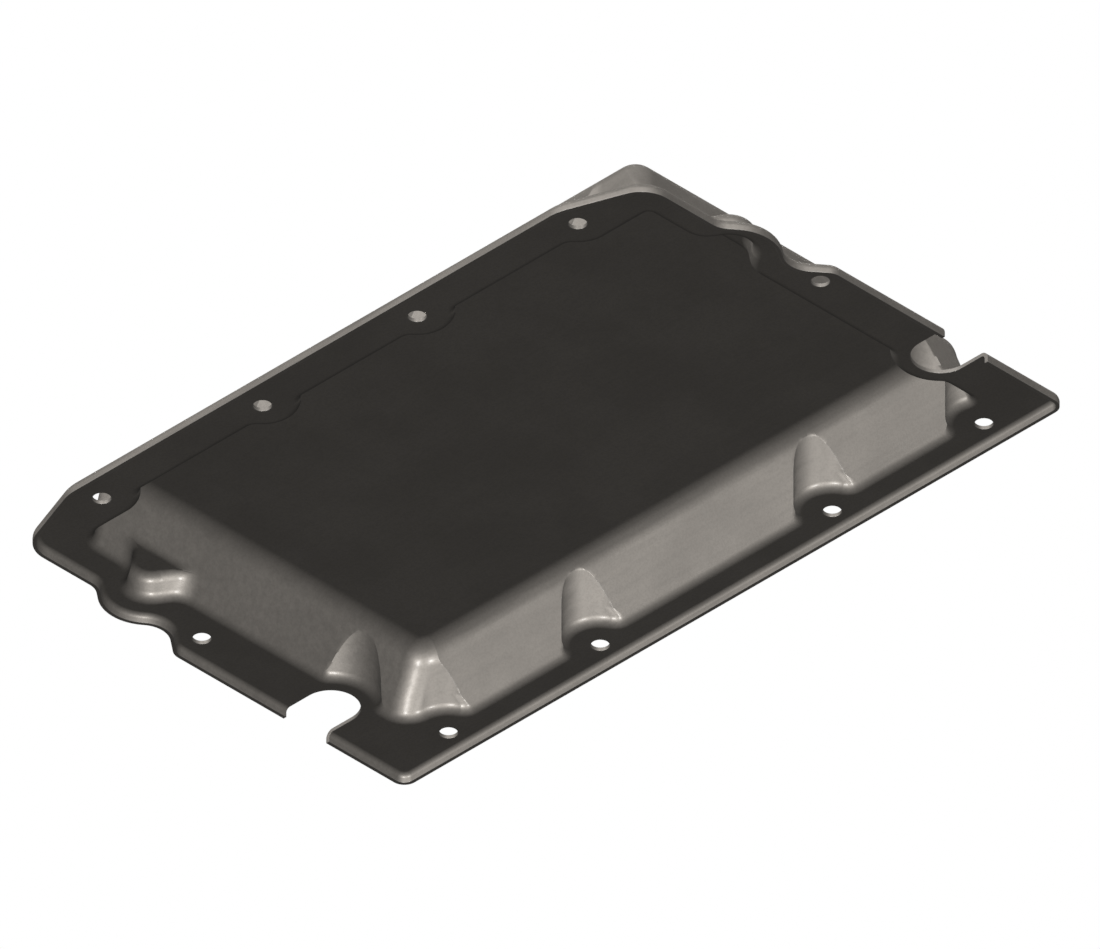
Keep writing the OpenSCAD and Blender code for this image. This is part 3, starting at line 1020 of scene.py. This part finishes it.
    def select_open(self, piece: Object) -> None:
        """Select the open edges in the flange's lower face."""
        bpy.ops.mesh.select_all(action="DESELECT")
        mesh = bmesh.from_edit_mesh(piece.data)
        for edge in mesh.edges:
            if self.open_on_flange(edge):
                edge.select_set(True)
        bmesh.update_edit_mesh(piece.data)

    def fill_flange(self, piece: Object) -> None:
        """Fill the flange between the dish, the lip and the collars of the cuts."""
        self.select_open(piece)
        bpy.ops.mesh.fill(use_beauty=True)

    def trim_cuts(self, piece: Object) -> None:
        """Add the narrow bands of faces between the collars and the cut edges."""
        self.select_open(piece)
        bpy.ops.mesh.extrude_edges_move()
        mesh = bmesh.from_edit_mesh(piece.data)
        for vert in mesh.verts:
            if vert.select:
                vert.co = self.cut_point(vert.co)
        bmesh.update_edit_mesh(piece.data)

    def cut_point(self, spot: Vector) -> Vector:
        """Return the point of the hole or notch that is nearest to a collar's point."""
        collar = self.edge.collar * MM
        side = math.copysign(1.0, spot.x)
        middle = self.place(side * self.edge.notch_x, self.edge.notch_y, 0.0)
        aside = spot.y - middle.y
        reach = self.edge.notch_w / 2 * MM + collar
        if abs(aside) < reach + self.weld and abs(spot.x) > abs(middle.x) - self.weld:
            return spot - Vector((0.0, math.copysign(collar, aside), 0.0))
        centres = [self.place(side * x, y, 0.0) for x, y in self.bolts.places]
        centre = min([middle] + centres, key=lambda c: (spot - c).length)
        return spot - (spot - centre).normalized() * collar

    def face_inwards(self, piece: Object) -> None:
        """Turn the selected faces towards the inside of the dish."""
        bpy.ops.mesh.normals_make_consistent(inside=False)
        faces = bmesh.from_edit_mesh(piece.data).faces
        ceiling = max(faces, key=lambda face: face.calc_center_median().z)
        if ceiling.normal.z > 0.0:
            bpy.ops.mesh.flip_normals()

    def thicken(self, piece: Object) -> None:
        """Give the sheet its thickness and take the sharpness off its cut edges."""
        activate(piece)
        solid = piece.modifiers.new("thickness", "SOLIDIFY")
        solid.thickness = self.edge.sheet_t * MM
        solid.offset = -1.0
        solid.use_even_offset = True
        bpy.ops.object.modifier_apply(modifier=solid.name)
        bevel = piece.modifiers.new("broken edges", "BEVEL")
        bevel.width = self.edge_break
        bevel.segments = self.break_steps
        bevel.limit_method = "ANGLE"
        bevel.angle_limit = math.radians(self.break_angle)
        bpy.ops.object.modifier_apply(modifier=bevel.name)

    def shade(self, piece: Object) -> None:
        """Shade the bends smooth and keep the flat faces flat."""
        activate(piece)
        bpy.ops.object.shade_smooth_by_angle(angle=math.radians(self.sharp_angle))
        even = piece.modifiers.new("even normals", "WEIGHTED_NORMAL")
        even.mode = "FACE_AREA"
        even.keep_sharp = True
        bpy.ops.object.modifier_apply(modifier=even.name)

    def dress(self, piece: Object, grain: NodeTree) -> None:
        """Give the sheet its finish and keep light from passing between its walls."""
        # The photograph shows each face in one even tone, with nothing thrown on it
        # by the walls beside it
        piece.visible_diffuse = False
        piece.visible_glossy = False
        piece.data.materials.clear()
        piece.data.materials.append(self.finish.build(grain))


# The studio


@dataclass(frozen=True)
class SoftLight:
    """A large far light that reaches into the dish without casting its walls' shadows.

    Attributes:
        side: Its part in the lighting.
        towards: Direction from the cover to the light.
        strength: Its strength, in watts per square metre.
        spread: Width of the light as the cover sees it, in degrees.
        shadows: Whether the cover shades itself from it.
        glossy: Whether the light shows as a highlight.
    """

    side: Side
    towards: Point
    strength: float
    spread: float
    shadows: bool = False
    glossy: bool = True

    def build(self) -> None:
        """Add the light."""
        way = Vector(self.towards).normalized()
        deselect_all()
        bpy.ops.object.light_add(type="SUN", location=way)
        lamp = bpy.context.view_layer.objects.active
        lamp.name = f"{self.side.value}_light"
        lamp.rotation_euler = way.to_track_quat("Z", "Y").to_euler()
        lamp.data.angle = math.radians(self.spread)
        lamp.data.energy = self.strength
        lamp.visible_glossy = self.glossy
        lamp.data.use_shadow = self.shadows


@dataclass
class Studio:
    """Camera, floor, lights and surroundings.

    Attributes:
        aim: The point at the middle of the picture, in metres.
        azimuth: Bearing of the camera round the cover, in degrees.
        elevation: Its height above the horizon, in degrees.
        reach: How far away it stands, in metres.
        near: How near to the camera things start to show, in metres.
        far: How far away they still show, in metres.
        width: Width of the picture, in metres.
        floor_size: Side of the floor, in metres.
        floor_gap: How far the floor lies below the lip, in metres.
        floor_tone: Colour of the floor.
        backdrop: Brightness of the background.
        ambient: Brightness of the surroundings as the cover sees them.
        lights: The large far lights.
    """

    aim: Point = (0.00717, 0.00687, 0.0003)
    azimuth: float = 45.0
    elevation: float = -35.2644
    reach: float = 1.2
    near: float = 0.01
    far: float = 20.0
    width: float = 0.41514
    floor_size: float = 6.0
    floor_gap: float = 0.0002
    floor_tone: Colour = (0.47, 0.47, 0.465)
    backdrop: float = 1.0
    ambient: float = 0.022
    lights: tuple[SoftLight, ...] = (
        SoftLight(Side.KEY, (-0.035, -0.994, 0.10), 1.225, 10.0),
        SoftLight(Side.SIDE, (0.79, -0.61, 0.06), 1.43, 10.0),
        SoftLight(Side.FILL, (0.577, -0.577, -0.577), 0.84, 15.0, glossy=False),
        SoftLight(Side.TOP, (-0.24, 0.24, 0.94), 6.0, 40.0, shadows=True, glossy=False),
    )

    def build(self) -> None:
        """Set the whole studio up."""
        self.camera()
        self.floor()
        self.surroundings()
        for light in self.lights:
            light.build()
        scene = bpy.context.scene
        scene.view_settings.view_transform = "Standard"
        scene.view_settings.look = "None"

    def camera(self) -> None:
        """Place the camera at the picture's viewing angle."""
        turn, lift = math.radians(self.azimuth), math.radians(self.elevation)
        flat = math.cos(lift)
        back = Vector((math.sin(turn) * flat, -math.cos(turn) * flat, math.sin(lift)))
        deselect_all()
        bpy.ops.object.camera_add(location=Vector(self.aim) + back * self.reach)
        eye = bpy.context.view_layer.objects.active
        eye.rotation_mode = "QUATERNION"
        eye.rotation_quaternion = (-back).to_track_quat("-Z", "Y")
        eye.data.type = "ORTHO"
        eye.data.ortho_scale = self.width
        eye.data.sensor_fit = "HORIZONTAL"
        eye.data.clip_start, eye.data.clip_end = self.near, self.far
        bpy.context.scene.camera = eye

    def floor(self) -> None:
        """Lay a pale floor that shows from above and is clear from below."""
        deselect_all()
        spot = (0.0, 0.0, -self.floor_gap)
        bpy.ops.mesh.primitive_plane_add(size=self.floor_size, location=spot)
        ground = bpy.context.view_layer.objects.active
        ground.name = "floor"
        ground.visible_shadow = ground.visible_diffuse = ground.visible_glossy = False
        paint = bpy.data.materials.new("pale floor")
        paint.use_nodes = True
        bench = NodeBench(paint.node_tree)
        out = bench.node("ShaderNodeOutputMaterial")
        matt = bench.node("ShaderNodeBsdfDiffuse")
        bench.feed(matt, {"Color": colour(self.floor_tone)})
        clear = bench.node("ShaderNodeBsdfTransparent")
        below = bench.node("ShaderNodeNewGeometry").outputs["Backfacing"]
        bench.feed(out, {"Surface": bench.choose(below, matt, clear)})
        ground.data.materials.append(paint)

    def surroundings(self) -> None:
        """Make the background white to the camera and dim to the cover."""
        world = bpy.data.worlds.new("studio")
        bpy.context.scene.world = world
        world.use_nodes = True
        bench = NodeBench(world.node_tree)
        out = bench.node("ShaderNodeOutputWorld")
        felt, seen = (bench.node("ShaderNodeBackground") for _ in range(2))
        for glow, strength in ((felt, self.ambient), (seen, self.backdrop)):
            bench.feed(glow, {"Color": colour(WHITE), "Strength": strength})
        camera_ray = bench.node("ShaderNodeLightPath").outputs["Is Camera Ray"]
        bench.feed(out, {"Surface": bench.choose(camera_ray, felt, seen)})


def main() -> None:
    """Build the studio and the cover, then report each piece."""
    logging.basicConfig(level=logging.INFO, format="%(name)s: %(message)s")
    Studio().build()
    grain = SheetGrain().build()
    cover = PressedCover()
    piece = cover.build()
    cover.dress(piece, grain)
    LOG.info("%s: %d faces", piece.name, len(piece.data.polygons))


if __name__ == "__main__":
    main()
